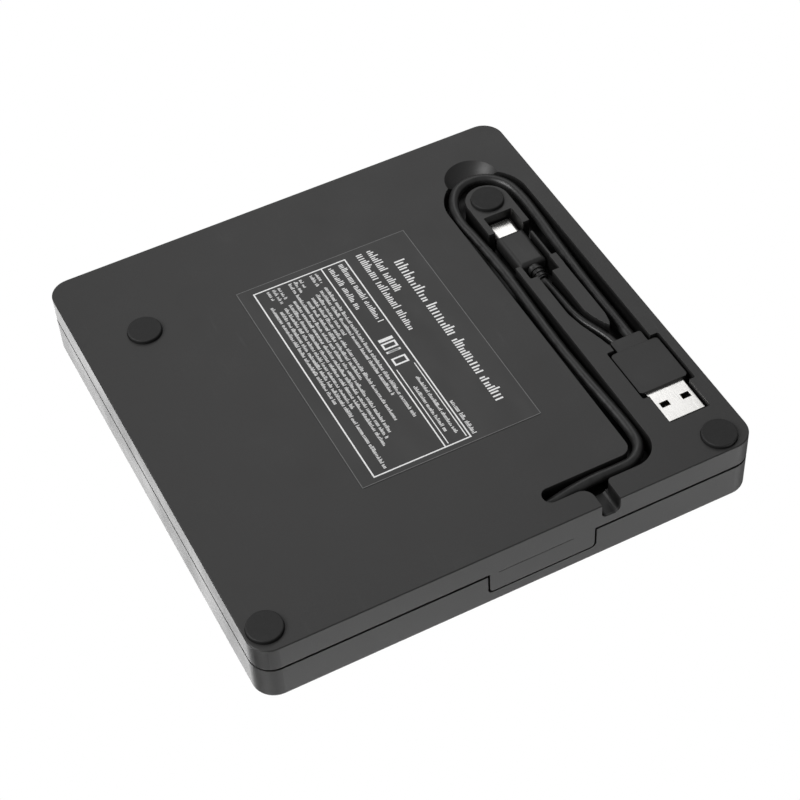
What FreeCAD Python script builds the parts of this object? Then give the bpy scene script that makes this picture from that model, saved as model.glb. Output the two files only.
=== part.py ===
"""External optical drive: square case, slim tray mechanism, cable and plugs stowed underneath.

Millimetres. +Z up, the rubber feet stand on z = 0, the origin is under the middle of the case.
The tray opens towards -Y, the cable leaves through the back wall at +Y.
"""
import FreeCAD, Part
import math
import os

V = FreeCAD.Vector

# ---- driving dimensions -------------------------------------------------------------------
CASE_W = 150.0              # along X
CASE_D = 150.0              # along Y
CASE_H = 20.6               # underside face to lid top
CORNER_R = 6.5              # plan corners
LID_EDGE_R = 0.9            # rounding of the lid's top edge
WALL = 1.6
FOOT_H = 1.1                # how far a foot stands proud
FOOT_R = 5.0
FOOT_RECESS = 0.5
FACE_Z = FOOT_H             # outer face of the underside
TOP_Z = FACE_Z + CASE_H
SEAM_Z = 9.7                # middle of the gap between base shell and lid
SEAM_GAP = 0.9
LIP_T = 0.8                 # locating lip inside the lid
LIP_H = 1.5

HALF_W = CASE_W / 2
HALF_D = CASE_D / 2
BASE_TOP = SEAM_Z - SEAM_GAP / 2
LID_BOTTOM = SEAM_Z + SEAM_GAP / 2
LID_INNER_Z = TOP_Z - WALL

# cable bay in the underside
BAY_X = 56.2                # middle of the bay
BAY_ARC_Y = -43.2           # centre of its round end
BAY_R = 13.3                # outer wall
POST_R = 6.8                # round post inside the loop
BAY_ROOF = 8.5              # the bay is cut up to this height
BAY_SKIN = 0.7              # material over the bay
BAY_WALL = 1.2
CHANNEL_L = (BAY_X - BAY_R, BAY_X - POST_R)
CHANNEL_R = (BAY_X + POST_R, BAY_X + BAY_R)
LOW_CHANNEL_Y = (62.5, 67.6)
CABLE_END_X = 13.5          # closed end of the lower channel
PLUG_A_X = 63.6             # axis of the large plug
PLUG_A_Y = (28.4, 48.0)     # its pocket
PLUG_A_HALF = 8.5
TONGUE_Y = 58.8             # end of the pocket for the metal shell
TONGUE_HALF = 6.5
NOTCH_X = 28.8
NOTCH_HALF = 2.85
NOTCH_FLARE = {-1: 3.4, 1: 1.3}   # corner radius on each side, where it meets the channel
NOTCH_TOP = 6.3
SCOOP_AT = (56.6, -54.1)
SCOOP_R = 8.4               # radius where it meets the face
SCOOP_DEEP = 4.4

# tab on the back wall, part of the base shell
TAB_X = (-8.0, 24.0)
TAB_TOP = 16.8
TAB_GAP = 0.6
TAB_LINE_X = (-5.3, 17.4)   # fine parting line across the tab, level with the seam
TAB_LINE_W = 0.25
TAB_LINE_DEEP = 0.15

FEET = {
    "foot_front_left": (-56.0, -44.0),
    "foot_front_right": (BAY_X, BAY_ARC_Y - 0.2),
    "foot_rear_left": (-69.0, 67.4),
    "foot_rear_right": (66.3, 69.0),
}
FRONT_FEET = ("foot_front_left", "foot_front_right")
REAR_FEET = ("foot_rear_left", "foot_rear_right")
BOSS_R = 2.8
SCREW_R = 1.0
SCREW_HEAD_R = 1.9
SCREW_HEAD_H = 1.2
SCREW_CLEAR = 0.05

# label on the underside
LABEL_X = (-27.1, 28.1)
LABEL_Y = (-44.5, 38.9)
LABEL_T = 0.1

# cable and pigtail: routes through the bay, chosen to follow its walls
CABLE_D = 3.2
PIGTAIL_D = 2.4
CABLE_ROUTE = [
    (6.0, 65.0, 5.4), (11.2, 65.1, 5.3), (16.6, 64.9, 5.1), (22.4, 64.5, 4.1), (28.9, 64.2, 3.5),
    (36.2, 64.4, 3.5), (42.3, 64.2, 3.5), (46.6, 60.3, 3.6), (47.6, 54.4, 3.8),
    (47.4, 44.6, 4.1), (46.7, 31.2, 4.2), (46.3, 16.7, 4.2), (46.8, 1.0, 4.3), (47.2, -12.5, 4.2),
    (46.8, -25.0, 4.0), (46.2, -33.6, 3.7), (45.3, -40.6, 3.4), (46.9, -48.9, 3.1),
    (52.1, -54.7, 2.8), (60.4, -54.8, 2.8), (66.0, -49.4, 3.1), (67.4, -41.6, 3.5),
    (67.3, -31.4, 3.9), (66.7, -18.6, 4.2), (66.2, -6.0, 4.3), (66.1, 5.4, 4.5),
    (66.4, 15.4, 5.0), (66.4, 24.4, 5.0),
]
PIGTAIL_ROUTE = [
    (61.3, 24.4, 5.0), (60.5, 20.6, 4.6), (58.9, 16.4, 4.3), (57.2, 12.2, 4.2), (56.4, 7.4, 4.3),
    (56.2, 2.2, 4.4), (56.35, -3.2, 4.8), (56.2, -9.0, 5.5),
]

# where the cable enters the casing
GLAND_Y = 65.0
GLAND_X = (8.2, 9.4)        # flange, behind the wall that holds it
SLEEVE_R = 2.3
FLANGE_R = 2.55

# large plug, its axis along Y at x = PLUG_A_X
MOULD_A_HALF = 7.7
MOULD_A_Y = (29.0, 45.6)
MOULD_A_Z = (1.9, 8.1)
NECK_A_HALF = 5.0
NECK_A_Y = (24.4, 31.0)
SHELL_A_HALF = 6.0
SHELL_A_Y = (42.0, 57.3)
SHELL_A_Z = (2.75, 7.25)
SHELL_A_SHEET = 0.3
WINDOW_SIDE = 3.35          # latch windows, either side of the axis
WINDOW_HALF = 1.35
WINDOW_FROM_END = (7.1, 5.1)
TONGUE_A = (5.6, (43.0, 56.4), (5.0, 6.9))      # half width, y, z
CONTACT_HALF = 0.5
CONTACT_PITCH = 7.0 / 3
CONTACT_Y = (46.0, 55.4)
CONTACT_Z = (4.9, 5.1)

# small plug, its axis along Y at x = BAY_X
USB_C_Z = 5.6
SHELL_C = (4.15, 1.3)       # half width, half height
SHELL_C_Y = (-36.3, -26.5)
SHELL_C_SHEET = 0.25
LINER_C_Y = (-36.0, -28.0)
LINER_C_SLOT = (3.4, 0.4)
MOULD_C_Y = (-29.7, -14.9)
MOULD_C_Z = (2.9, 8.3)
RELIEF_LENGTH = 5.5
RELIEF_R = (2.0, 1.7)
RELIEF_Z = 5.5

# slim drive mechanism
MECH_HALF_W = 64.0
MECH_FRONT = -72.2
MECH_BACK = 56.0
PAN_Z = 9.3
SHEET = 0.5
COVER_TOP = 18.8
RAIL_Z = (12.0, 16.0)
RAIL_X = (59.9, 62.0)
RAIL_T = 0.6
RAIL_Y = (-66.0, 50.0)
GUIDE_X = (62.3, 63.4)
TRAY_HALF_W = 59.6
TRAY_FRONT = -72.5
TRAY_BACK = 50.5
TRAY_Z = (10.6, 17.4)
TRAY_FLOOR = (14.0, 14.8)
TRAY_WALL = 1.6
SPINDLE = (0.0, -9.0)
DISC_RECESS_R = 60.2
HUB_HOLE_R = 14.2
PLATE_Z = (10.2, 10.6)
TRAY_SCREWS = ((-54.5, -67.5), (35.0, -67.6), (-54.5, 45.4), (54.5, 45.4))
TRAY_SCREW_R = 0.7
LATCH_NOTCH = (-47.5, -42.5, 44.0)      # x span and front end of the cut-out for the latch post

# optical pickup, laid out along a line from the spindle and then turned
PICKUP_ANGLE = -50.0        # degrees from +X
PICKUP_R = 25.0             # sled centre from the spindle at rest
SLED_HALF_L = 9.0
SLED_HALF_W = 15.0
ROD_SIDE = 13.0
ROD_R = 0.8
ROD_Z = 12.2
ROD_SPAN = (12.0, 68.0)
SCREW_SIDE = 18.2
LEAD_R = 1.0
LENS_R = 2.0

# front bezel and controls
BEZEL_HALF_W = 64.6
BEZEL_Z = (10.1, 18.2)
BEZEL_Y = (-74.8, -72.6)
CONTROL_Z = 14.0
BUTTON_X = (43.0, 53.0)
BUTTON_HALF_H = 1.4
LAMP_X = 36.0
PINHOLE_X = 28.0

# boards at the back
BRIDGE_X = (-54.0, 8.0)
BRIDGE_Y = (58.0, 71.4)
BRIDGE_Z = (10.6, 11.6)
BRIDGE_POSTS = ((-51.6, 64.8), (4.0, 69.0))
PLUG_X = (-48.0, -14.0)


# ---- helpers --------------------------------------------------------------------------------
def box(x0, x1, y0, y1, z0, z1):
    return Part.makeBox(x1 - x0, y1 - y0, z1 - z0, V(x0, y0, z0))


def cyl(x, y, r, z0, z1):
    return Part.makeCylinder(r, z1 - z0, V(x, y, z0))


def rod(start, end, r):
    line = V(*end) - V(*start)
    return Part.makeCylinder(r, line.Length, V(*start), line)


def corner(before, at, after, r):
    """The two tangent points and the middle point of an arc of radius r at one corner."""
    a = (before - at).normalize()
    b = (after - at).normalize()
    half = a.getAngle(b) / 2
    reach = r / math.tan(half)
    centre = at + (a + b).normalize() * (r / math.sin(half))
    middle = centre + (at - centre).normalize() * r
    return at + a * reach, middle, at + b * reach


def prism(points, z0, z1):
    """Closed outline of (x, y) or (x, y, corner radius) points, raised from z0 to z1."""
    flat = [V(p[0], p[1], z0) for p in points]
    radii = [p[2] if len(p) > 2 else 0.0 for p in points]
    edges = []
    ends = []
    count = len(points)
    for i in range(count):
        if radii[i] > 0:
            start, middle, end = corner(flat[i - 1], flat[i], flat[(i + 1) % count], radii[i])
            edges.append((start, middle, end))
            ends.append((start, end))
        else:
            edges.append(None)
            ends.append((flat[i], flat[i]))
    wire = []
    for i in range(count):
        if edges[i]:
            wire.append(Part.Arc(*edges[i]).toShape())
        start = ends[i][1]
        end = ends[(i + 1) % count][0]
        if start.distanceToPoint(end) > 1e-6:
            wire.append(Part.LineSegment(start, end).toShape())
    return Part.Face(Part.Wire(wire)).extrude(V(0, 0, z1 - z0))


def slab(x0, x1, y0, y1, z0, z1, r):
    """Block with rounded vertical edges."""
    return prism([(x0, y0, r), (x1, y0, r), (x1, y1, r), (x0, y1, r)], z0, z1)


def fuse(shapes):
    whole = shapes[0]
    for shape in shapes[1:]:
        whole = whole.fuse(shape)
    return whole.removeSplitter()


def cut(shape, tools):
    for tool in tools:
        shape = shape.cut(tool)
    return shape


def edges_at(shape, z):
    """Edges that lie wholly at one height."""
    found = []
    for edge in shape.Edges:
        if abs(edge.BoundBox.ZMin - z) < 1e-4 and abs(edge.BoundBox.ZMax - z) < 1e-4:
            found.append(edge)
    return found


def upright_edges(shape):
    """Straight vertical edges."""
    found = []
    for edge in shape.Edges:
        bb = edge.BoundBox
        if bb.ZLength > 1e-3 and bb.XLength < 1e-4 and bb.YLength < 1e-4:
            found.append(edge)
    return found


def turned(shape):
    """From the pickup's own layout (x away from the spindle) to its place in the tray."""
    shape = shape.copy()
    shape.rotate(V(0, 0, 0), V(0, 0, 1), PICKUP_ANGLE)
    shape.translate(V(SPINDLE[0], SPINDLE[1], 0))
    return shape


def hex_socket(x, y, z0, z1, corner_r):
    points = []
    for i in range(6):
        angle = math.radians(60 * i)
        points.append((x + corner_r * math.cos(angle), y + corner_r * math.sin(angle)))
    return prism(points, z0, z1)


def screw_up(x, y, head_z, tip_z, r, head_r):
    """Pan-head screw driven upwards, with a cross recess in its head."""
    head = cyl(x, y, head_r, head_z, head_z + SCREW_HEAD_H)
    head = head.makeFillet(0.35, edges_at(head, head_z))
    arm = head_r * 0.55
    recess_top = head_z + SCREW_HEAD_H * 0.6
    cross = fuse([
        box(x - arm, x + arm, y - 0.22, y + 0.22, head_z - 1, recess_top),
        box(x - 0.22, x + 0.22, y - arm, y + arm, head_z - 1, recess_top),
    ])
    shank = cyl(x, y, r, head_z + SCREW_HEAD_H, tip_z - 0.4)
    tip = Part.makeCone(r, r * 0.6, 0.4, V(x, y, tip_z - 0.4))
    return fuse([head, shank, tip]).cut(cross)


def tube(route, diameter, name):
    """Round cord of straight runs joined by tangent arcs, as large as the runs allow."""
    points = [V(*p) for p in route]
    edges = []
    radii = []
    last = points[0]
    for i in range(1, len(points) - 1):
        back = points[i - 1] - points[i]
        ahead = points[i + 1] - points[i]
        half_turn = (math.pi - back.getAngle(ahead)) / 2
        radius = 0.45 * min(back.Length, ahead.Length) / math.tan(half_turn)
        radii.append(radius)
        start, middle, end = corner(points[i - 1], points[i], points[i + 1], radius)
        edges.append(Part.LineSegment(last, start).toShape())
        edges.append(Part.Arc(start, middle, end).toShape())
        last = end
    edges.append(Part.LineSegment(last, points[-1]).toShape())
    path = Part.Wire(edges)
    section = Part.Wire(Part.Circle(points[0], points[1] - points[0], diameter / 2).toShape())
    solid = path.makePipeShell([section], True, False)
    expected = math.pi * diameter ** 2 / 4 * path.Length
    print(name, "length", round(path.Length, 1), "least radius", round(min(radii), 1),
          "volume ratio", round(solid.Volume / expected, 4))
    return solid


# ---- case -----------------------------------------------------------------------------------
def outer_block(z0, z1, inset=0.0):
    return slab(-HALF_W + inset, HALF_W - inset, -HALF_D + inset, HALF_D - inset, z0, z1,
                CORNER_R - inset)


def low_channel(grow, z0, z1):
    """L-shaped channel: along the back, then forward beside the post."""
    y0 = LOW_CHANNEL_Y[0] - grow
    y1 = LOW_CHANNEL_Y[1] + grow
    x0 = CHANNEL_L[0] - grow
    x1 = CHANNEL_L[1] + grow
    end = CABLE_END_X - grow
    return prism([
        (x0, BAY_ARC_Y), (x0, y0, 3.6 - grow), (end, y0, 2.4), (end, y1, 2.4),
        (x1, y1, 8.0 + grow), (x1, BAY_ARC_Y),
    ], z0, z1)


def plug_pocket(grow, z0, z1):
    wide = slab(PLUG_A_X - PLUG_A_HALF - grow, PLUG_A_X + PLUG_A_HALF + grow,
                PLUG_A_Y[0] - grow, PLUG_A_Y[1] + grow, z0, z1, 0.6)
    narrow = slab(PLUG_A_X - TONGUE_HALF - grow, PLUG_A_X + TONGUE_HALF + grow,
                  PLUG_A_Y[1] - 2, TONGUE_Y + grow, z0, z1, 0.5)
    return fuse([wide, narrow])


def leaf(z0, z1):
    """Pointed rib between the pigtail's groove and the right channel."""
    left = CHANNEL_R[0] - 4.7
    right = CHANNEL_R[0] - 0.1
    return prism([
        (left, -7.8), (left, 10.4, 8), (59.2, 13.9, 8), (60.9, 18.0), (61.7, 19.2), (62.3, 17.9),
        (right, 14.6, 8), (right, -13.8, 0.4), (60.7, -13.8, 0.4), (60.7, -7.8),
    ], z0, z1)


def bay_cut():
    """Everything taken out of the underside for the cable and its plugs."""
    low = FACE_Z - 1
    high = BAY_ROOF
    ring = cyl(BAY_X, BAY_ARC_Y, BAY_R, low, high)
    ring = ring.cut(cyl(BAY_X, BAY_ARC_Y, POST_R, low, high))
    ring = ring.common(box(0, HALF_W, -HALF_D, BAY_ARC_Y, low, high))
    right = box(CHANNEL_R[0], CHANNEL_R[1], BAY_ARC_Y, PLUG_A_Y[0] + 1, low, high)
    slot = slab(BAY_X - 4.9, BAY_X + 4.7, -36.9, -13.0, low, high, 0.5)
    middle = box(CHANNEL_L[1] - 0.5, CHANNEL_R[0] + 0.5, -29.8, -13.8, low, high)
    recess = slab(51.1, 60.7, -14.5, -7.8, low, high, 0.5)
    groove = prism([
        (53.4, -8.5), (53.4, 9.9, 12), (54.5, 15.5, 12), (56.6, 22.6, 6), (57.5, 26.6),
        (57.5, PLUG_A_Y[0] + 1), (64.0, PLUG_A_Y[0] + 1), (64.0, -8.5),
    ], low, high)
    rib = slab(60.7, 61.5, -25.3, -13.0, low, high, 0.35)
    middle = middle.cut(rib)
    plug_space = fuse([slot, recess, groove]).cut(leaf(low - 1, high + 1))
    notch = slab(NOTCH_X - NOTCH_HALF, NOTCH_X + NOTCH_HALF, LOW_CHANNEL_Y[1] - 2, HALF_D + 3,
                 low, NOTCH_TOP, 0.5)
    notch = notch.makeFillet(1.8, [e for e in edges_at(notch, NOTCH_TOP) if e.BoundBox.YLength > 5])
    flares = []
    for side, radius in NOTCH_FLARE.items():
        wall = NOTCH_X + side * NOTCH_HALF
        x0, x1 = sorted((wall - side * 0.5, wall + side * radius))
        flare = box(x0, x1, LOW_CHANNEL_Y[1] - 0.5, LOW_CHANNEL_Y[1] + radius, low, NOTCH_TOP - 1.0)
        flares.append(flare.cut(cyl(wall + side * radius, LOW_CHANNEL_Y[1] + radius, radius,
                                    low - 1, high)))
    ball_r = (SCOOP_R ** 2 + SCOOP_DEEP ** 2) / (2 * SCOOP_DEEP)
    scoop = Part.makeSphere(ball_r, V(*SCOOP_AT, FACE_Z + SCOOP_DEEP - ball_r))
    scoop = scoop.cut(cyl(BAY_X, BAY_ARC_Y, POST_R, low, high))
    return fuse([
        ring, right, low_channel(0, low, high), middle, plug_space,
        plug_pocket(0, low, high), notch, scoop,
    ] + flares)


def bay_block():
    """Solid that the bay is cut into, so that every channel has a wall and a roof."""
    low = FACE_Z
    high = BAY_ROOF + BAY_SKIN
    reach = BAY_R + BAY_WALL
    end = BAY_ARC_Y - reach - 4
    main = prism([
        (BAY_X - reach, end, reach - 1), (BAY_X + reach, end, reach - 1),
        (BAY_X + reach, PLUG_A_Y[0] + 2), (BAY_X - reach, PLUG_A_Y[0] + 2),
    ], low, high)
    exit_wall = box(NOTCH_X - NOTCH_HALF - 4.6, NOTCH_X + NOTCH_HALF + 2.6,
                    LOW_CHANNEL_Y[1], HALF_D - WALL, low, high)
    return fuse([
        main, low_channel(BAY_WALL, low, high), plug_pocket(BAY_WALL, low, high), exit_wall,
    ])


def base_shell():
    outer = outer_block(FACE_Z, BASE_TOP)
    outer = outer.makeChamfer(0.25, edges_at(outer, FACE_Z))
    shell = outer.cut(outer_block(FACE_Z + WALL, BASE_TOP + 5, WALL))
    lip = outer_block(BASE_TOP - 2.5, BASE_TOP + LIP_H, WALL + 0.1)
    lip = lip.cut(outer_block(BASE_TOP - 5, BASE_TOP + 5, WALL + 0.1 + LIP_T))
    foot_of_lip = outer_block(BASE_TOP - 2.5, BASE_TOP - 0.5, WALL - 0.2)
    foot_of_lip = foot_of_lip.cut(outer_block(BASE_TOP - 5, BASE_TOP + 5, WALL + 0.1 + LIP_T))
    front_gap = box(-BEZEL_HALF_W - 1, BEZEL_HALF_W + 1, -HALF_D, -HALF_D + 6, BASE_TOP, TOP_Z)
    lip = fuse([lip, foot_of_lip]).cut(front_gap)
    parts = [shell, lip, bay_block()]
    tab = box(TAB_X[0], TAB_X[1], HALF_D - WALL, HALF_D, BASE_TOP - 1, TAB_TOP)
    rounded = [e for e in tab.Edges if e.BoundBox.YLength > 1 and e.BoundBox.ZMin > TAB_TOP - 0.01]
    tab = tab.makeFillet(1.3, rounded)
    backing = box(TAB_X[0] - 1.4, TAB_X[1] + 1.4, HALF_D - WALL - 0.9, HALF_D - WALL - 0.1,
                  BASE_TOP - 2, TAB_TOP + 1.4)
    joint = box(TAB_X[0] + 0.5, TAB_X[1] - 0.5, HALF_D - WALL - 0.2, HALF_D - WALL + 0.1,
                BASE_TOP - 2, TAB_TOP - 1)
    parts += [tab, backing, joint]
    for name, (x, y) in FEET.items():
        top = PAN_Z - 0.1 if name in FRONT_FEET else BASE_TOP
        parts.append(cyl(x, y, BOSS_R if name in REAR_FEET else BOSS_R + 0.4, FACE_Z, top))
    for x, y in BRIDGE_POSTS:
        parts.append(cyl(x, y, 2.4, FACE_Z, BRIDGE_Z[0]))
    gland_wall = box(9.6, CABLE_END_X + 0.5, 61.3, 68.8, FACE_Z, BAY_ROOF + BAY_SKIN)
    parts.append(gland_wall)
    clamp = box(2.2, 5.2, 61.6, 68.4, FACE_Z, 9.0)
    parts.append(clamp)
    shell = fuse(parts)
    tools = [bay_cut()]
    for name, (x, y) in FEET.items():
        tools.append(cyl(x, y, FOOT_R + 0.15, FACE_Z - 1, FACE_Z + FOOT_RECESS))
        tools.append(cyl(x, y, SCREW_HEAD_R + 0.1, FACE_Z, FACE_Z + FOOT_RECESS + SCREW_HEAD_H + 0.1))
        tools.append(cyl(x, y, SCREW_R + SCREW_CLEAR + 0.1, FACE_Z, TOP_Z))
    for x, y in BRIDGE_POSTS:
        tools.append(cyl(x, y, 0.8, BRIDGE_Z[0] - 4, BRIDGE_Z[0] + 1))
    gland_z = CABLE_ROUTE[1][2]
    inner_x, _, inner_z = CABLE_ROUTE[0]
    tools.append(rod((9.0, GLAND_Y, gland_z), (CABLE_END_X + 1, GLAND_Y, gland_z), SLEEVE_R + 0.05))
    tools.append(rod((1.0, GLAND_Y, inner_z), (inner_x, GLAND_Y, inner_z), 1.3))
    tools.append(box(*TAB_LINE_X, HALF_D - TAB_LINE_DEEP, HALF_D + 1,
                     SEAM_Z - TAB_LINE_W / 2, SEAM_Z + TAB_LINE_W / 2))
    return cut(shell, tools)


def lid():
    outer = outer_block(LID_BOTTOM, TOP_Z)
    outer = outer.makeFillet(LID_EDGE_R, edges_at(outer, TOP_Z))
    shell = outer.cut(outer_block(LID_BOTTOM - 1, LID_INNER_Z, WALL))
    parts = [shell]
    for name in REAR_FEET:
        x, y = FEET[name]
        parts.append(cyl(x, y, BOSS_R, BASE_TOP + 0.2, LID_INNER_Z + 0.2))
    for y in (57.4, -30.0):
        for side in (-1, 1):
            x0, x1 = sorted((side * (MECH_HALF_W + 0.8), side * (HALF_W - WALL + 0.2)))
            parts.append(box(x0, x1, y, y + 1.2, LID_INNER_Z - 6, LID_INNER_Z + 0.2))
    shell = fuse(parts)
    window = box(-BEZEL_HALF_W - 0.4, BEZEL_HALF_W + 0.4, -HALF_D - 1, -HALF_D + WALL + 0.5,
                 LID_BOTTOM - 1, BEZEL_Z[1] + 0.3)
    slot = box(TAB_X[0] - TAB_GAP, TAB_X[1] + TAB_GAP, HALF_D - WALL - 0.1, HALF_D + 1,
               LID_BOTTOM - 2, TAB_TOP + TAB_GAP)
    rounded = [e for e in slot.Edges
               if e.BoundBox.YLength > 1 and e.BoundBox.ZMin > TAB_TOP + TAB_GAP - 0.01]
    slot = slot.makeFillet(1.6, rounded)
    tools = [window, slot]
    for name in REAR_FEET:
        x, y = FEET[name]
        tools.append(cyl(x, y, SCREW_R + SCREW_CLEAR, BASE_TOP, LID_INNER_Z - 2))
    return cut(shell, tools)


def foot(x, y):
    pad = cyl(x, y, FOOT_R, 0, FACE_Z + FOOT_RECESS)
    return pad.makeFillet(0.35, edges_at(pad, 0))


def case_screws():
    shapes = []
    for name in REAR_FEET:
        x, y = FEET[name]
        shapes.append(screw_up(x, y, FACE_Z + FOOT_RECESS, 15.0, SCREW_R, SCREW_HEAD_R))
    return Part.makeCompound(shapes)


def drive_screws():
    shapes = []
    for name in FRONT_FEET:
        x, y = FEET[name]
        shapes.append(screw_up(x, y, FACE_Z + FOOT_RECESS, PAN_Z + SHEET, SCREW_R, SCREW_HEAD_R))
    return Part.makeCompound(shapes)


def rating_label():
    return slab(LABEL_X[0], LABEL_X[1], LABEL_Y[0], LABEL_Y[1], FACE_Z - LABEL_T, FACE_Z, 0.8)


# ---- cable and plugs ------------------------------------------------------------------------
def cable_gland():
    z = CABLE_ROUTE[1][2]
    sleeve = rod((GLAND_X[1] - 0.2, GLAND_Y, z), (CABLE_END_X, GLAND_Y, z), SLEEVE_R)
    flange = rod((GLAND_X[0], GLAND_Y, z), (GLAND_X[1], GLAND_Y, z), FLANGE_R)
    return fuse([sleeve, flange]).cut(tube(CABLE_ROUTE[:4], CABLE_D, "gland bore"))


def usb_a_overmold():
    z0, z1 = MOULD_A_Z
    body = slab(PLUG_A_X - MOULD_A_HALF, PLUG_A_X + MOULD_A_HALF, *MOULD_A_Y, z0, z1, 1.2)
    neck = slab(PLUG_A_X - NECK_A_HALF, PLUG_A_X + NECK_A_HALF, *NECK_A_Y, z0 + 0.3, z1 - 0.3, 0.8)
    socket = box(PLUG_A_X - SHELL_A_HALF, PLUG_A_X + SHELL_A_HALF,
                 SHELL_A_Y[0], MOULD_A_Y[1] + 1, *SHELL_A_Z)
    return fuse([body, neck]).cut(socket)


def usb_a_shell():
    x0, x1 = PLUG_A_X - SHELL_A_HALF, PLUG_A_X + SHELL_A_HALF
    y0, y1 = SHELL_A_Y
    z0, z1 = SHELL_A_Z
    sheet = SHELL_A_SHEET
    outer = box(x0, x1, y0, y1, z0, z1)
    outer = outer.makeFillet(0.35, [e for e in outer.Edges if e.BoundBox.YLength > 10])
    tools = [box(x0 + sheet, x1 - sheet, y0 - 1, y1 + 1, z0 + sheet, z1 - sheet)]
    for side in (-1, 1):
        x = PLUG_A_X + side * WINDOW_SIDE
        tools.append(box(x - WINDOW_HALF, x + WINDOW_HALF,
                         y1 - WINDOW_FROM_END[0], y1 - WINDOW_FROM_END[1], z0 - 1, z1 + 1))
    return cut(outer, tools)


def usb_a_strips():
    """The four contact strips, evenly spaced across the tongue."""
    strips = []
    for i in range(4):
        x = PLUG_A_X + (i - 1.5) * CONTACT_PITCH
        strips.append(box(x - CONTACT_HALF, x + CONTACT_HALF, *CONTACT_Y, *CONTACT_Z))
    return strips


def usb_a_tongue():
    half, span_y, span_z = TONGUE_A
    return cut(box(PLUG_A_X - half, PLUG_A_X + half, *span_y, *span_z), usb_a_strips())


def usb_a_contacts():
    return Part.makeCompound(usb_a_strips())


def racetrack(half_w, half_h, y0, y1):
    """Round-ended bar along Y for the small plug."""
    core = box(BAY_X - half_w + half_h, BAY_X + half_w - half_h, y0, y1,
               USB_C_Z - half_h, USB_C_Z + half_h)
    ends = []
    for side in (-1, 1):
        x = BAY_X + side * (half_w - half_h)
        ends.append(rod((x, y0, USB_C_Z), (x, y1, USB_C_Z), half_h))
    return fuse([core] + ends)


def usb_c_overmold():
    body = slab(BAY_X - 4.6, BAY_X + 4.4, *MOULD_C_Y, *MOULD_C_Z, 0.4)
    body = body.makeFillet(1.5, [e for e in body.Edges if e.BoundBox.YLength > 10])
    return body.cut(racetrack(*SHELL_C, MOULD_C_Y[0] - 1, SHELL_C_Y[1]))


def usb_c_inside():
    """Half width and half height inside the small plug's shell."""
    return SHELL_C[0] - SHELL_C_SHEET, SHELL_C[1] - SHELL_C_SHEET


def usb_c_shell():
    bore = racetrack(*usb_c_inside(), SHELL_C_Y[0] - 1, LINER_C_Y[1])
    return racetrack(*SHELL_C, *SHELL_C_Y).cut(bore)


def usb_c_liner():
    slot = racetrack(*LINER_C_SLOT, LINER_C_Y[0] - 1, LINER_C_Y[1] - 1.5)
    return racetrack(*usb_c_inside(), *LINER_C_Y).cut(slot)


def usb_c_strain_relief():
    """Tapered stem with three rings, bored for the pigtail's end."""
    start = MOULD_C_Y[1]
    stem = Part.makeCone(*RELIEF_R, RELIEF_LENGTH, V(BAY_X, start, RELIEF_Z), V(0, 1, 0))
    rings = []
    for i in range(3):
        y = start + 1.3 + 1.5 * i
        rings.append(rod((BAY_X, y, RELIEF_Z), (BAY_X, y + 0.7, RELIEF_Z), 2.3 - 0.12 * i))
    bore = rod((BAY_X, -9.7, RELIEF_Z), (BAY_X, -8.0, RELIEF_Z), PIGTAIL_D / 2 + 0.01)
    return fuse([stem] + rings).cut(bore)


# ---- mechanism: fixed parts -------------------------------------------------------------------
def chassis_pan():
    half = MECH_HALF_W
    floor = box(-half, half, MECH_FRONT, MECH_BACK, PAN_Z, PAN_Z + SHEET)
    parts = [floor]
    for side in (-1, 1):
        x0, x1 = sorted((side * half, side * (half - SHEET)))
        parts.append(box(x0, x1, MECH_FRONT, MECH_BACK, PAN_Z, 15.0))
    parts.append(box(-half, half, MECH_BACK - SHEET, MECH_BACK, PAN_Z, 17.6))
    pan = fuse(parts)
    tools = [box(PLUG_X[0] - 0.6, PLUG_X[1] + 0.6, MECH_BACK - 2, MECH_BACK + 1, 11.5, 18)]
    for name in FRONT_FEET:
        x, y = FEET[name]
        tools.append(cyl(x, y, SCREW_R + SCREW_CLEAR, PAN_Z - 1, PAN_Z + 1))
    for x in (-36.0, 36.0):
        for y in (-20.0, 10.0):
            tools.append(slab(x - 9, x + 9, y - 2, y + 2, PAN_Z - 1, PAN_Z + 1, 1.9))
    return cut(pan, tools)


def chassis_cover():
    half = MECH_HALF_W
    z0 = COVER_TOP - SHEET
    roof = box(-half, half, MECH_FRONT, MECH_BACK, z0, COVER_TOP)
    parts = [roof]
    for side in (-1, 1):
        x0, x1 = sorted((side * half, side * (half - SHEET)))
        parts.append(box(x0, x1, MECH_FRONT, MECH_BACK - SHEET - 0.1, 15.2, COVER_TOP))
    return fuse(parts)


def rail_guide(side):
    """Plastic channel on the chassis wall that the rail slides in."""
    x0, x1 = GUIDE_X
    web = (x0, x1, -68.0, 52.0, 11.0, 17.0)
    parts = [web, (x0 - 1.6, x1, -68.0, 52.0, 16.3, 17.0), (x0 - 1.6, x1, -68.0, 52.0, 11.0, 11.7)]
    solids = []
    for a, b, *rest in parts:
        lo, hi = sorted((side * a, side * b))
        solids.append(box(lo, hi, *rest))
    return fuse(solids)


def slide_rail(side):
    """Sheet-metal rail of C section, open towards the tray."""
    x0, x1 = RAIL_X
    z0, z1 = RAIL_Z
    bars = [
        (x1 - RAIL_T, x1, z0, z1), (x0, x1, z1 - RAIL_T, z1), (x0, x1, z0, z0 + RAIL_T),
    ]
    solids = []
    for a, b, low, high in bars:
        lo, hi = sorted((side * a, side * b))
        solids.append(box(lo, hi, RAIL_Y[0], RAIL_Y[1], low, high))
    return fuse(solids)


def rear_board():
    return box(-56.0, 20.0, 52.6, 54.2, 9.9, 17.4)


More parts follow.
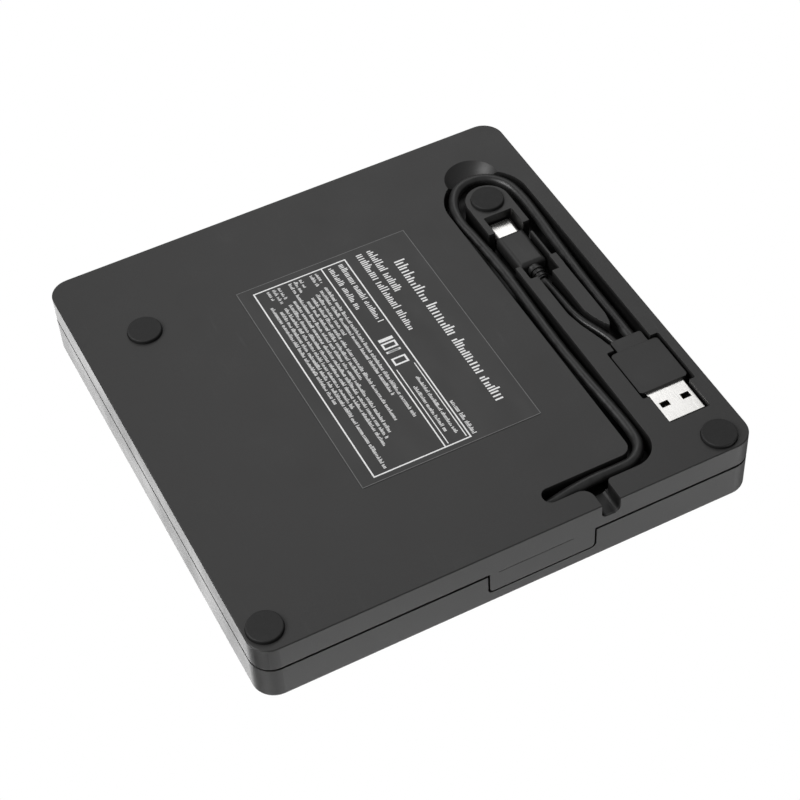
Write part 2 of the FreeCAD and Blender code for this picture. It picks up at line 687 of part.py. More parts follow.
def sata_plug():
    x0, x1 = PLUG_X
    body = box(x0, x1, 54.2, 57.6, 12.2, 16.4)
    return fuse([body, box(x0 + 1.5, x1 - 1.5, 57.6, 59.6, 13.4, 14.4)])


def ribbon_cable():
    """Flat cable on the pan, turned up at its back end."""
    z = PAN_Z + SHEET
    low = box(-20.0, 4.0, -4.0, 52.0, z + 0.02, z + 0.12)
    rise = box(-20.0, 4.0, 51.9, 52.0, z + 0.02, 10.0)
    return fuse([low, rise])


def latch_post():
    z = PAN_Z + SHEET
    return fuse([cyl(-45.0, 47.4, 1.6, z, z + 0.3), cyl(-45.0, 47.4, 1.0, z, 11.2)])


def bridge_board():
    board = box(BRIDGE_X[0], BRIDGE_X[1], BRIDGE_Y[0], BRIDGE_Y[1], BRIDGE_Z[0], BRIDGE_Z[1])
    return cut(board, [cyl(x, y, 1.1, 10, 12) for x, y in BRIDGE_POSTS])


def bridge_chips():
    z = BRIDGE_Z[1]
    spots = [(-6.0, 65.0, 7.0, 7.0, 0.9), (-22.0, 68.4, 4.0, 3.2, 0.8), (-5.4, 60.2, 3.2, 1.6, 0.7)]
    for i in range(5):
        spots.append((-44.0 + i * 3.4, 68.6, 1.6, 0.8, 0.6))
    shapes = []
    for x, y, w, d, h in spots:
        shapes.append(box(x - w / 2, x + w / 2, y - d / 2, y + d / 2, z, z + h))
    return Part.makeCompound(shapes)


def sata_socket():
    x0, x1 = PLUG_X
    z = BRIDGE_Z[1]
    body = box(x0 - 1, x1 + 1, 57.8, 65.0, z, 16.6)
    return body.cut(box(x0 + 1.2, x1 - 1.2, 57.0, 60.2, 13.1, 14.7))


def board_screws():
    shapes = []
    for x, y in BRIDGE_POSTS:
        head = cyl(x, y, 1.7, BRIDGE_Z[1], BRIDGE_Z[1] + 1.0)
        head = head.cut(hex_socket(x, y, BRIDGE_Z[1] + 0.4, BRIDGE_Z[1] + 2, 0.7))
        shapes.append(fuse([head, cyl(x, y, 0.8, BRIDGE_Z[0] - 3.5, BRIDGE_Z[1])]))
    return Part.makeCompound(shapes)


def cable_plug():
    """Four-way connector where the cable's wires meet the bridge board."""
    z = BRIDGE_Z[1]
    body = box(-1.0, 3.0, 59.4, 66.6, z, z + 3.2)
    slots = [box(-0.4, 2.4, 60.3 + 1.6 * i, 61.3 + 1.6 * i, z + 2.0, z + 4) for i in range(4)]
    return cut(body, slots)


# ---- tray -------------------------------------------------------------------------------------
def control_bore(x, r, y0, y1):
    return rod((x, y0, CONTROL_Z), (x, y1, CONTROL_Z), r)


def tray():
    half = TRAY_HALF_W
    z0, z1 = TRAY_Z
    outer = slab(-half, half, TRAY_FRONT, TRAY_BACK, z0, z1, 1.5)
    inner = slab(-half + TRAY_WALL, half - TRAY_WALL, TRAY_FRONT + TRAY_WALL,
                 TRAY_BACK - TRAY_WALL, z0 - 1, TRAY_FLOOR[0], 1.0)
    body = outer.cut(inner)
    parts = [body]
    for side in (-1, 1):
        x0, x1 = sorted((side * (half - 0.5), side * (RAIL_X[1] - RAIL_T - 0.35)))
        parts.append(box(x0, x1, -70.0, 50.0, 13.3, 14.7))
    for x, y in TRAY_SCREWS:
        parts.append(cyl(x, y, 2.2, z0, TRAY_FLOOR[0] + 0.2))
    for r in ROD_SPAN:
        for side in (-ROD_SIDE, ROD_SIDE):
            parts.append(turned(box(r - 1.6, r + 1.6, side - 1.9, side + 1.9, 10.8,
                                    TRAY_FLOOR[0] + 0.2)))
    parts.append(box(38.4, 57.6, -71.0, -62.4, z0, TRAY_FLOOR[0] + 0.2))
    whole = fuse(parts)
    sx, sy = SPINDLE
    tools = [
        cyl(sx, sy, DISC_RECESS_R, TRAY_FLOOR[1], z1 + 1),
        cyl(sx, sy, HUB_HOLE_R, z0 - 1, z1 + 1),
        turned(slab(13.0, 66.0, -9.2, 9.2, z0 - 1, z1 + 1, 3.0)),
        box(40.0, 56.0, -71.2, -64.0, z0 - 1, 16.6),
        box(BUTTON_X[0] - 1.5, BUTTON_X[1] + 1.5, TRAY_FRONT - 1, -70.0, 11.4, 16.6),
        control_bore(LAMP_X, 0.85, -74, -70.5),
        control_bore(PINHOLE_X, 0.7, -74, -68.0),
        box(*LATCH_NOTCH, TRAY_BACK + 1, z0 - 1, 12.0),
    ]
    for side in (-ROD_SIDE, ROD_SIDE):
        tools.append(guide_rod(side, 2.0))
    for x, y in TRAY_SCREWS:
        tools.append(cyl(x, y, TRAY_SCREW_R, z0 - 1, z0 + 3))
    return cut(whole, tools)


def tray_plate():
    half = TRAY_HALF_W - 0.2
    z0, z1 = PLATE_Z
    plate = slab(-half, half, TRAY_FRONT + 0.3, TRAY_BACK - 0.2, z0, z1, 1.4)
    tools = [box(*LATCH_NOTCH, TRAY_BACK + 1, z0 - 1, z1 + 1)]
    for x, y in TRAY_SCREWS:
        tools.append(cyl(x, y, TRAY_SCREW_R + 0.05, z0 - 1, z1 + 1))
    for x in (-30.0, 24.0):
        tools.append(slab(x - 8, x + 8, 24.0, 34.0, z0 - 1, z1 + 1, 2.0))
    return cut(plate, tools)


def tray_screws():
    shapes = []
    for x, y in TRAY_SCREWS:
        head = cyl(x, y, 1.4, PLATE_Z[0] - 0.3, PLATE_Z[0])
        shapes.append(fuse([head, cyl(x, y, TRAY_SCREW_R, PLATE_Z[0], PLATE_Z[1] + 2.6)]))
    return Part.makeCompound(shapes)


def tray_bezel():
    y0, y1 = BEZEL_Y
    z0, z1 = BEZEL_Z
    front = box(-BEZEL_HALF_W, BEZEL_HALF_W, y0, y1, z0, z1)
    front = front.makeFillet(0.6, [e for e in front.Edges
                                   if e.BoundBox.YMax < y0 + 0.01 and e.BoundBox.XLength > 10])
    front = front.makeFillet(0.5, [e for e in front.Edges
                                   if e.BoundBox.YMax < y0 + 0.01 and e.BoundBox.ZLength > 3])
    tools = [
        box(BUTTON_X[0] - 0.25, BUTTON_X[1] + 0.25, y0 - 1, y1 + 1,
            CONTROL_Z - BUTTON_HALF_H - 0.25, CONTROL_Z + BUTTON_HALF_H + 0.25),
        control_bore(LAMP_X, 0.8, y0 - 1, y1 + 1),
        control_bore(PINHOLE_X, 0.65, y0 - 1, y1 + 1),
    ]
    return cut(front, tools)


def eject_button():
    y0 = BEZEL_Y[0] - 0.2
    low = CONTROL_Z - BUTTON_HALF_H
    high = CONTROL_Z + BUTTON_HALF_H
    cap = box(BUTTON_X[0], BUTTON_X[1], y0, -72.3, low, high)
    cap = cap.makeFillet(0.3, [e for e in cap.Edges if e.BoundBox.YMax < y0 + 0.01])
    flange = box(BUTTON_X[0] - 1, BUTTON_X[1] + 1, -72.4, -71.8, low - 0.8, high + 0.8)
    stem = rod((48.0, -72.0, CONTROL_Z), (48.0, -70.2, CONTROL_Z), 0.8)
    return fuse([cap, flange, stem])


def front_board():
    return box(41.0, 55.0, -66.4, -65.4, 11.0, 16.2)


def eject_switch():
    body = box(46.0, 50.0, -68.4, -66.4, 12.0, 16.0)
    plunger = rod((48.0, -68.4, CONTROL_Z), (48.0, -69.0, CONTROL_Z), 0.9)
    return fuse([body, plunger])


def light_pipe():
    pipe = control_bore(LAMP_X, 0.75, BEZEL_Y[0], -70.9)
    return pipe.makeFillet(0.25, [e for e in pipe.Edges if e.BoundBox.YMax < BEZEL_Y[0] + 0.01])


def solenoid():
    coil = box(-51.0, -39.0, 27.0, 35.0, 10.8, 13.6)
    return fuse([coil, rod((-45, 35, 12.2), (-45, 37.4, 12.2), 0.9)])


def latch_lever():
    """Flat lever on a pivot pin, with a hook beside the latch post."""
    z0, z1 = 12.2, 13.4
    arm = prism([(-49.0, 38.6, 1), (-41.0, 38.6, 1), (-42.6, 45.2, 0.5), (-42.6, 48.4, 0.4),
                 (-46.4, 48.4, 0.4), (-46.4, 47.2, 0.3), (-44.2, 46.6, 0.3), (-45.2, 42.0, 1)], z0, z1)
    return arm.cut(cyl(-45.0, 40.6, 0.85, z0 - 1, z1 + 1))


def latch_pin():
    return fuse([cyl(-45.0, 40.6, 0.8, 11.0, TRAY_FLOOR[0]), cyl(-45.0, 40.6, 1.6, 11.0, 11.8)])


# ---- spindle and pickup -----------------------------------------------------------------------
def motor_stator():
    sx, sy = SPINDLE
    base = cyl(sx, sy, 13.0, 10.7, 11.3)
    core = cyl(sx, sy, 8.0, 11.3, 12.6)
    teeth = []
    for i in range(9):
        tooth = box(7.0, 10.8, -1.2, 1.2, 11.5, 12.5)
        tooth.rotate(V(0, 0, 0), V(0, 0, 1), 40 * i)
        tooth.translate(V(sx, sy, 0))
        teeth.append(tooth)
    whole = fuse([base, core] + teeth)
    return whole.cut(cyl(sx, sy, 1.55, 10.9, 13))


def spindle_rotor():
    sx, sy = SPINDLE
    bell = cyl(sx, sy, 12.8, 11.8, 13.9).cut(cyl(sx, sy, 11.4, 11, 13.2))
    deck = cyl(sx, sy, 12.8, 13.8, 15.1)
    nose = cyl(sx, sy, 7.4, 15.0, 17.3)
    nose = nose.makeFillet(0.9, edges_at(nose, 17.3))
    shaft = cyl(sx, sy, 1.5, 11.0, 14.0)
    whole = fuse([bell, deck, nose, shaft])
    tools = [cyl(sx, sy, 13, 15.1, 15.5).cut(cyl(sx, sy, 12.0, 15, 16))]
    for i in range(3):
        pocket = box(4.2, 9.0, -1.5, 1.5, 15.9, 17.6)
        pocket.rotate(V(0, 0, 0), V(0, 0, 1), 120 * i)
        pocket.translate(V(sx, sy, 0))
        tools.append(pocket)
    return cut(whole, tools)


def friction_ring():
    sx, sy = SPINDLE
    return cyl(sx, sy, 12.2, 15.1, 15.5).cut(cyl(sx, sy, 8.6, 15, 16))


def disc_claws():
    sx, sy = SPINDLE
    shapes = []
    for i in range(3):
        claw = prism([(4.3, -1.3), (6.6, -1.3), (7.6, 0), (6.6, 1.3), (4.3, 1.3)], 15.9, 16.9)
        claw.rotate(V(0, 0, 0), V(0, 0, 1), 120 * i)
        claw.translate(V(sx, sy, 0))
        shapes.append(claw)
    return Part.makeCompound(shapes)


def guide_rod(side, spare):
    """Rod beside the sled's track, with spare length beyond both of its seats."""
    r0, r1 = ROD_SPAN
    return turned(rod((r0 - spare, side, ROD_Z), (r1 + spare, side, ROD_Z), ROD_R))


def guide_rods():
    shapes = []
    for side in (-ROD_SIDE, ROD_SIDE):
        shapes.append(guide_rod(side, 1.6))
    return Part.makeCompound(shapes)


def sled():
    mid = PICKUP_R
    body = box(mid - SLED_HALF_L, mid + SLED_HALF_L, -SLED_HALF_W, SLED_HALF_W, 10.9, 13.5)
    body = body.makeFillet(1.2, upright_edges(body))
    arm = box(mid - 3, mid + 3, SLED_HALF_W - 1, SCREW_SIDE - 1.4, 11.6, 12.8)
    whole = fuse([body, arm])
    tools = [box(mid - 4.6, mid + 4.6, -5.6, 5.6, 12.0, 14.0)]
    for side in (-ROD_SIDE, ROD_SIDE):
        tools.append(rod((mid - 20, side, ROD_Z), (mid + 20, side, ROD_Z), ROD_R + 0.06))
    return turned(cut(whole, tools))


def lens_holder():
    mid = PICKUP_R
    body = box(mid - 3.6, mid + 3.6, -4.4, 4.4, 12.5, 14.3)
    body = body.makeFillet(0.8, upright_edges(body))
    collar = Part.makeCylinder(LENS_R + 0.6, 0.5, V(mid, 0, 14.3))
    whole = fuse([body, collar])
    return turned(whole.cut(Part.makeCylinder(LENS_R, 5, V(mid, 0, 13.2))))


def objective_lens():
    mid = PICKUP_R
    lens = Part.makeCylinder(LENS_R, 0.8, V(mid, 0, 13.5))
    ball_r = 4.2
    rise = ball_r - math.sqrt(ball_r ** 2 - LENS_R ** 2)
    dome = Part.makeSphere(ball_r, V(mid, 0, 14.3 - (ball_r - rise)))
    dome = dome.common(Part.makeCylinder(LENS_R, 2, V(mid, 0, 14.3)))
    return turned(fuse([lens, dome]))


def lens_magnets():
    mid = PICKUP_R
    shapes = []
    for side in (-1, 1):
        y0, y1 = sorted((side * 4.75, side * 5.55))
        shapes.append(box(mid - 2.6, mid + 2.6, y0, y1, 12.0, 13.4))
    return turned(Part.makeCompound(shapes))


def lead_screw():
    core = rod((13.8, SCREW_SIDE, ROD_Z), (58.3, SCREW_SIDE, ROD_Z), LEAD_R - 0.15)
    rings = []
    for i in range(28):
        x = 15.0 + 1.5 * i
        rings.append(rod((x, SCREW_SIDE, ROD_Z), (x + 0.6, SCREW_SIDE, ROD_Z), LEAD_R))
    return turned(fuse([core] + rings))


def feed_motor():
    body = box(3.0, 13.4, SCREW_SIDE - 3.0, SCREW_SIDE + 3.6, 10.8, 13.8)
    body = body.makeFillet(1.2, [e for e in body.Edges if e.BoundBox.XLength > 8])
    stop = box(58.6, 60.2, SCREW_SIDE - 1.6, SCREW_SIDE + 1.6, 10.9, 13.4)
    plate = box(13.0, 59.0, SCREW_SIDE + 1.4, SCREW_SIDE + 1.9, 10.8, 12.0)
    return turned(fuse([body, stop, plate]))


# ---- output ------------------------------------------------------------------------------------
def main():
    os.makedirs("parts", exist_ok=True)
    nodes = {
        "base_shell": base_shell(),
        "lid": lid(),
        "case_screws": case_screws(),
        "drive_screws": drive_screws(),
        "rating_label": rating_label(),
        "cable": tube(CABLE_ROUTE, CABLE_D, "cable"),
        "pigtail_cable": tube(PIGTAIL_ROUTE, PIGTAIL_D, "pigtail"),
        "cable_gland": cable_gland(),
        "usb_a_overmold": usb_a_overmold(),
        "usb_a_shell": usb_a_shell(),
        "usb_a_tongue": usb_a_tongue(),
        "usb_a_contacts": usb_a_contacts(),
        "usb_c_overmold": usb_c_overmold(),
        "usb_c_shell": usb_c_shell(),
        "usb_c_liner": usb_c_liner(),
        "usb_c_strain_relief": usb_c_strain_relief(),
        "chassis_pan": chassis_pan(),
        "chassis_cover": chassis_cover(),
        "rail_guide_left": rail_guide(-1),
        "rail_guide_right": rail_guide(1),
        "slide_rail_left": slide_rail(-1),
        "slide_rail_right": slide_rail(1),
        "rear_board": rear_board(),
        "sata_plug": sata_plug(),
        "ribbon_cable": ribbon_cable(),
        "latch_post": latch_post(),
        "bridge_board": bridge_board(),
        "bridge_chips": bridge_chips(),
        "sata_socket": sata_socket(),
        "board_screws": board_screws(),
        "cable_connector": cable_plug(),
        "tray": tray(),
        "tray_plate": tray_plate(),
        "tray_screws": tray_screws(),
        "tray_bezel": tray_bezel(),
        "eject_button": eject_button(),
        "front_board": front_board(),
        "eject_switch": eject_switch(),
        "light_pipe": light_pipe(),
        "solenoid": solenoid(),
        "latch_lever": latch_lever(),
        "latch_pin": latch_pin(),
        "motor_stator": motor_stator(),
        "spindle_rotor": spindle_rotor(),
        "friction_ring": friction_ring(),
        "disc_claws": disc_claws(),
        "guide_rods": guide_rods(),
        "sled": sled(),
        "lens_holder": lens_holder(),
        "objective_lens": objective_lens(),
        "lens_magnets": lens_magnets(),
        "lead_screw": lead_screw(),
        "feed_motor": feed_motor(),
    }
    for name, (x, y) in FEET.items():
        nodes[name] = foot(x, y)
    for name, shape in nodes.items():
        if not shape.isValid() or len(shape.Solids) < 1:
            print("CHECK", name, shape.isValid(), len(shape.Solids))
        shape.exportStep(os.path.join("parts", name + ".step"))
    print(len(nodes), "nodes")


main()
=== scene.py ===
"""Looks of the external optical drive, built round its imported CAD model.

Metres, in the CAD frame: +Z up, feet on z = 0, tray opens towards -Y, cable bay underneath at +X.
"""
import bpy
import bmesh
import math
import random
from mathutils import Matrix, Vector


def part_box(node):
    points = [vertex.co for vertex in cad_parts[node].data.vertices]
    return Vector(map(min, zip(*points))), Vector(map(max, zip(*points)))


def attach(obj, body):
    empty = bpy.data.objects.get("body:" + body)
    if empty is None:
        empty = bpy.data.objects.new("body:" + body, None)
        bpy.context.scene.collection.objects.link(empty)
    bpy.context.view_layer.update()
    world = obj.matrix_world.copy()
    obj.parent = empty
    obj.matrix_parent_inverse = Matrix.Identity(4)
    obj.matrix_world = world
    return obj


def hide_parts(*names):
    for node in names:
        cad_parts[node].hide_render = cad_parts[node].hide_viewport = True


MM = 0.001

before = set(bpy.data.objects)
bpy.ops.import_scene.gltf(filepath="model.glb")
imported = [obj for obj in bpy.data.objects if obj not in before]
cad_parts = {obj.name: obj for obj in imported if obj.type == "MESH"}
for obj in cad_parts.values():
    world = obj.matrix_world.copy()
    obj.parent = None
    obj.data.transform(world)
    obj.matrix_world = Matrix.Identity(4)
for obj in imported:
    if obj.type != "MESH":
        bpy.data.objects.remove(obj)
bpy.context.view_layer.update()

# ---- places on the casing, all in millimetres ------------------------------------------------------
SEAM_Z = 9.7                # between base shell and lid
CASE_REACH = 74.3           # from the middle to just under the casing's outer skin
BAY_SHADE_FADE = (1.5, 2.6)       # heights between which painted shade darkens the cable bay's walls
SCOOP_AT = (56.6, -54.1)    # middle of the finger scoop
SCOOP_SHADE_EDGE = (8.6, 9.6)     # radii between which the scoop's own tone gives way to the bay's painted shade
SPINDLE_AXIS = (0.0, -9.0, 0.0)
COIL_R = (5.5, 9.9)         # the stator's windings, inner and outer radius

# ---- the view: from behind, below and to the left, so that the underside fills the picture -------
VIEW_AZIMUTH = 204.44
VIEW_ELEVATION = -48.56
VIEW_ROLL = -3.587
VIEW_DISTANCE = 586.2 * MM
VIEW_TARGET = Vector((-0.5, 8.3, 10.0)) * MM
LENS = 93.0
SENSOR = 36.0

# ---- cable and pigtail: the same route points as the CAD model (mm) --------------------------------
CABLE_D = 3.2
CABLE_ROUTE = [
    (6.0, 65.0, 5.4), (11.2, 65.1, 5.3), (16.6, 64.9, 5.1), (22.4, 64.5, 4.1), (28.9, 64.2, 3.5),
    (36.2, 64.4, 3.5), (42.3, 64.2, 3.5), (46.6, 60.3, 3.6), (47.6, 54.4, 3.8),
    (47.4, 44.6, 4.1), (46.7, 31.2, 4.2), (46.3, 16.7, 4.2), (46.8, 1.0, 4.3), (47.2, -12.5, 4.2),
    (46.8, -25.0, 4.0), (46.2, -33.6, 3.7), (45.3, -40.6, 3.4), (46.9, -48.9, 3.1),
    (52.1, -54.7, 2.8), (60.4, -54.8, 2.8), (66.0, -49.4, 3.1), (67.4, -41.6, 3.5),
    (67.3, -31.4, 3.9), (66.7, -18.6, 4.2), (66.2, -6.0, 4.3), (66.1, 5.4, 4.5),
    (66.4, 15.4, 5.0), (66.4, 24.4, 5.0),
]
PIGTAIL_D = 2.4
PIGTAIL_ROUTE = [
    (61.3, 24.4, 5.0), (60.5, 20.6, 4.6), (58.9, 16.4, 4.3), (57.2, 12.2, 4.2), (56.4, 7.4, 4.3),
    (56.2, 2.2, 4.4), (56.35, -3.2, 4.8), (56.2, -9.0, 5.5),
]


def aim(azimuth, elevation, up, roll, distance, target):
    """Matrix of a thing that looks at target along its own -Z."""
    a = math.radians(azimuth)
    e = math.radians(elevation)
    back = Vector((math.sin(a) * math.cos(e), -math.cos(a) * math.cos(e), math.sin(e)))
    right = up.cross(back).normalized()
    true_up = back.cross(right)
    turn = Matrix.Rotation(math.radians(roll), 3, back)
    axes = Matrix((turn @ right, turn @ true_up, back)).transposed()
    return Matrix.Translation(target + back * distance) @ axes.to_4x4()


def make_camera():
    data = bpy.data.cameras.new("camera")
    data.lens = LENS
    data.sensor_width = SENSOR
    data.clip_start = 0.02
    data.clip_end = 50.0
    camera = bpy.data.objects.new("camera", data)
    bpy.context.scene.collection.objects.link(camera)
    camera.matrix_world = aim(VIEW_AZIMUTH, VIEW_ELEVATION, Vector((0, 0, -1)), VIEW_ROLL,
                              VIEW_DISTANCE, VIEW_TARGET)
    bpy.context.scene.camera = camera


# ---- node helpers ----------------------------------------------------------------------------------
COLOUR_A = 6                # a Mix node's first colour socket, with the second one after it
COLOUR_RESULT = 2           # its colour output
WAVE_PITCH = 0.314          # distance between the stripes of a Wave texture of scale 1


class Shader:
    """Short way to write a material's node tree."""

    def __init__(self, name):
        self.material = bpy.data.materials.get(name) or bpy.data.materials.new(name)
        self.material.use_nodes = True
        self.nodes = self.material.node_tree.nodes
        self.links = self.material.node_tree.links
        self.nodes.clear()
        self.output = self.nodes.new("ShaderNodeOutputMaterial")
        self.bsdf = self.nodes.new("ShaderNodeBsdfPrincipled")
        self.link(self.bsdf.outputs["BSDF"], self.output.inputs["Surface"])

    def link(self, a, b):
        self.links.new(a, b)

    def node(self, kind, **values):
        made = self.nodes.new(kind)
        for name, value in values.items():
            if hasattr(made, name):
                setattr(made, name, value)
            else:
                made.inputs[name.replace("_", " ")].default_value = value
        return made

    def place(self, stretch=(1, 1, 1), turn=(0, 0, 0), centre=(0, 0, 0)):
        """Position on the piece, in millimetres from centre."""
        coordinates = self.node("ShaderNodeTexCoord")
        mapping = self.node("ShaderNodeMapping", vector_type="POINT")
        mapping.inputs["Scale"].default_value = [s * 1000 for s in stretch]
        mapping.inputs["Rotation"].default_value = turn
        mapping.inputs["Location"].default_value = [-c * s for c, s in zip(centre, stretch)]
        self.link(coordinates.outputs["Object"], mapping.inputs["Vector"])
        return mapping.outputs["Vector"]

    def noise(self, size, detail=2.0, rough=0.5, stretch=(1, 1, 1), turn=(0, 0, 0)):
        """Noise whose lumps are about size millimetres across."""
        made = self.node("ShaderNodeTexNoise", Scale=1.0 / size, Detail=detail, Roughness=rough)
        self.link(self.place(stretch, turn), made.inputs["Vector"])
        return made.outputs["Fac"]

    def span(self, value, low, high, to_low, to_high):
        made = self.node("ShaderNodeMapRange")
        made.inputs["From Min"].default_value = low
        made.inputs["From Max"].default_value = high
        made.inputs["To Min"].default_value = to_low
        made.inputs["To Max"].default_value = to_high
        self.link(value, made.inputs["Value"])
        return made.outputs["Result"]

    def vary(self, noise, low, high):
        """Value from low to high that follows a noise, which mostly lies between 0.3 and 0.7."""
        return self.span(noise, 0.3, 0.7, low, high)

    def math(self, operation, a, b):
        made = self.node("ShaderNodeMath", operation=operation)
        for socket, value in zip(made.inputs, (a, b)):
            if isinstance(value, (int, float)):
                socket.default_value = value
            else:
                self.link(value, socket)
        return made.outputs["Value"]

    def mix(self, factor, a, b):
        """Colour between a and b, each a colour or a socket."""
        made = self.node("ShaderNodeMix", data_type="RGBA")
        self.link(factor, made.inputs["Factor"])
        for socket, value in zip(made.inputs[COLOUR_A:], (a, b)):
            if isinstance(value, (tuple, list)):
                socket.default_value = (*value[:3], 1.0)
            else:
                self.link(value, socket)
        return made.outputs[COLOUR_RESULT]

    def bump(self, height, depth, normal=None):
        """Bump of depth millimetres."""
        made = self.node("ShaderNodeBump", Distance=depth * MM)
        made.inputs["Strength"].default_value = 1.0
        self.link(height, made.inputs["Height"])
        if normal is not None:
            self.link(normal, made.inputs["Normal"])
        return made.outputs["Normal"]

    def soft_edge(self, radius):
        made = self.node("ShaderNodeBevel", samples=4, Radius=radius * MM)
        return made.outputs["Normal"]

    def set(self, **values):
        for name, value in values.items():
            socket = self.bsdf.inputs[name.replace("_", " ")]
            if isinstance(value, (int, float, tuple, list)):
                socket.default_value = value
            else:
                self.link(value, socket)
        return self.material

    def split(self, vector):
        made = self.node("ShaderNodeSeparateXYZ")
        self.link(vector, made.inputs["Vector"])
        return made.outputs["X"], made.outputs["Y"], made.outputs["Z"]

    def away(self, centre):
        """Distance in plan from an upright axis, in millimetres."""
        x, y, _ = self.split(self.place(centre=(*centre, 0)))
        squares = self.math("ADD", self.math("MULTIPLY", x, x), self.math("MULTIPLY", y, y))
        return self.math("SQRT", squares, 0.0)

    def wave(self, pitch, direction="X", kind="BANDS", wobble=0.0, centre=(0, 0, 0)):
        """Stripes, or rings about Z, that repeat every pitch millimetres."""
        made = self.node("ShaderNodeTexWave", wave_type=kind, Scale=WAVE_PITCH / pitch)
        made.inputs["Distortion"].default_value = wobble
        made.inputs["Detail Scale"].default_value = 1.0
        if kind == "BANDS":
            made.bands_direction = direction
        else:
            made.rings_direction = "Z"
        self.link(self.place(centre=centre), made.inputs["Vector"])
        return made.outputs["Fac"]

    def cells(self, size):
        """Distance from scattered points about size millimetres apart, 0 at each point."""
        made = self.node("ShaderNodeTexVoronoi", Scale=1.0 / size)
        self.link(self.place(), made.inputs["Vector"])
        return made.outputs["Distance"]


def grey(level, warm=0.0):
    return (level * (1 + warm), level, level * (1 - warm))


def scaled(colour, factor):
    return tuple(min(1.0, c * factor) for c in colour)


# ---- materials -----------------------------------------------------------------------------------
def painted_shade_mask(s):
    """Mask of painted shade: 1 in the cable bay and on the base shell's inner walls, 0 on its skin, the
    scoop and the lid.
    """
    x, y, z = s.split(s.place())
    reach = s.math("MAXIMUM", s.math("ABSOLUTE", x, 0.0), s.math("ABSOLUTE", y, 0.0))
    bay_shade = s.math("MULTIPLY", s.math("LESS_THAN", reach, CASE_REACH), s.span(z, *BAY_SHADE_FADE, 0.0, 1.0))
    bay_shade = s.math("MULTIPLY", bay_shade, s.math("LESS_THAN", z, SEAM_Z))
    return s.math("MULTIPLY", bay_shade, s.span(s.away(SCOOP_AT), *SCOOP_SHADE_EDGE, 0.0, 1.0))


def moulded(name, colour, rough, grain=0.25, depth=0.01, edge=0.15, contrast=0.3, bay_shade=None):
    """Injection-moulded plastic: fine spark-eroded grain, faint flow tone, a few rubbed streaks.

    An optional last argument gives the tone of the case's inner walls, as a share of the outer skin's:
    painted shade that darkens the cable bay.
    """
    s = Shader(name)
    fine = s.noise(grain, 3.0, 0.6)
    broad = s.noise(16.0, 3.0, 0.5)
    rubbed = s.span(s.noise(1.2, 2.0, 0.5, stretch=(1, 0.06, 1), turn=(0, 0, 0.5)), 0.66, 0.74, 0, 1)
    speck = s.mix(s.span(fine, 0.35, 0.65, 0.0, 1.0), scaled(colour, 1 - contrast / 2),
                  scaled(colour, 1 + contrast / 2))
    toned = s.mix(s.span(broad, 0.4, 0.62, 0.0, 0.9), speck, scaled(colour, 1 + contrast / 2))
    # painted shade: the cable bay's inner walls are darkened to a share of the skin's tone
    if bay_shade is not None:
        toned = s.mix(painted_shade_mask(s), toned, scaled(colour, bay_shade))
    gloss = s.vary(broad, rough - 0.03, rough + 0.05)
    return s.set(
        Base_Color=toned,
        Roughness=s.math("SUBTRACT", gloss, s.math("MULTIPLY", rubbed, 0.06)),
        Normal=s.bump(fine, depth, s.soft_edge(edge)),
    )


def rubber(name, colour, rough):
    """Moulded rubber: matt, with small round pimples and pale dust in the hollows."""
    s = Shader(name)
    pimples = s.span(s.cells(0.45), 0.0, 0.5, 1.0, 0.0)
    dust = s.noise(2.5, 4.0, 0.6)
    return s.set(
        Base_Color=s.mix(s.span(dust, 0.5, 0.75, 0.0, 0.6), colour, scaled(colour, 2.2)),
        Roughness=s.vary(dust, rough - 0.06, rough + 0.08),
        Normal=s.bump(pimples, 0.02, s.soft_edge(0.25)),
    )


def jacket(name, colour, rough):
    """Soft PVC: satin, with the slight unevenness of an extruded sleeve."""
    s = Shader(name)
    fine = s.noise(0.18, 2.0, 0.5)
    uneven = s.noise(3.0, 2.0, 0.5)
    return s.set(
        Base_Color=s.mix(s.span(uneven, 0.35, 0.65, 0.0, 1.0), scaled(colour, 0.85), scaled(colour, 1.2)),
        Roughness=s.vary(uneven, rough - 0.05, rough + 0.07),
        Normal=s.bump(fine, 0.004, s.bump(uneven, 0.05, s.soft_edge(0.15))),
    )


def film(name, colour, rough):
    """Printed polyester film with a slight orange-peel surface."""
    s = Shader(name)
    peel = s.noise(0.9, 2.0, 0.5)
    smear = s.noise(9.0, 3.0, 0.6, stretch=(1, 0.4, 1))
    return s.set(
        Base_Color=s.mix(s.vary(smear, 0.0, 1.0), scaled(colour, 0.93), scaled(colour, 1.1)),
        Roughness=s.vary(smear, rough - 0.04, rough + 0.06),
        Normal=s.bump(peel, 0.004),
    )


def ink(name, colour, rough):
    """Screen-printed ink, slightly thin and broken at its edges."""
    s = Shader(name)
    thin = s.noise(0.35, 3.0, 0.6)
    return s.set(
        Base_Color=s.mix(s.span(thin, 0.25, 0.5, 0.0, 1.0), scaled(colour, 0.55), colour),
        Roughness=s.vary(thin, rough - 0.05, rough + 0.08),
        Normal=s.bump(thin, 0.004),
    )


def brushed(name, colour, rough, along="Y", scratch=0.12, depth=0.002, metal=1.0, anisotropy=0.4):
    """Metal with fine lines along one axis, slightly cloudy."""
    s = Shader(name)
    stretch = {"X": (0.02, 1, 1), "Y": (1, 0.02, 1), "Z": (1, 1, 0.02)}[along]
    lines = s.noise(scratch, 3.0, 0.6, stretch=stretch)
    cloud = s.noise(4.0, 3.0, 0.5)
    s.set(Metallic=metal, Anisotropic=anisotropy)
    return s.set(
        Base_Color=s.mix(s.vary(cloud, 0.0, 1.0), scaled(colour, 0.92), scaled(colour, 1.05)),
        Roughness=s.math("ADD", s.vary(lines, rough - 0.07, rough + 0.07),
                         s.vary(cloud, 0.0, 0.05)),
        Normal=s.bump(lines, depth, s.soft_edge(0.1)),
    )


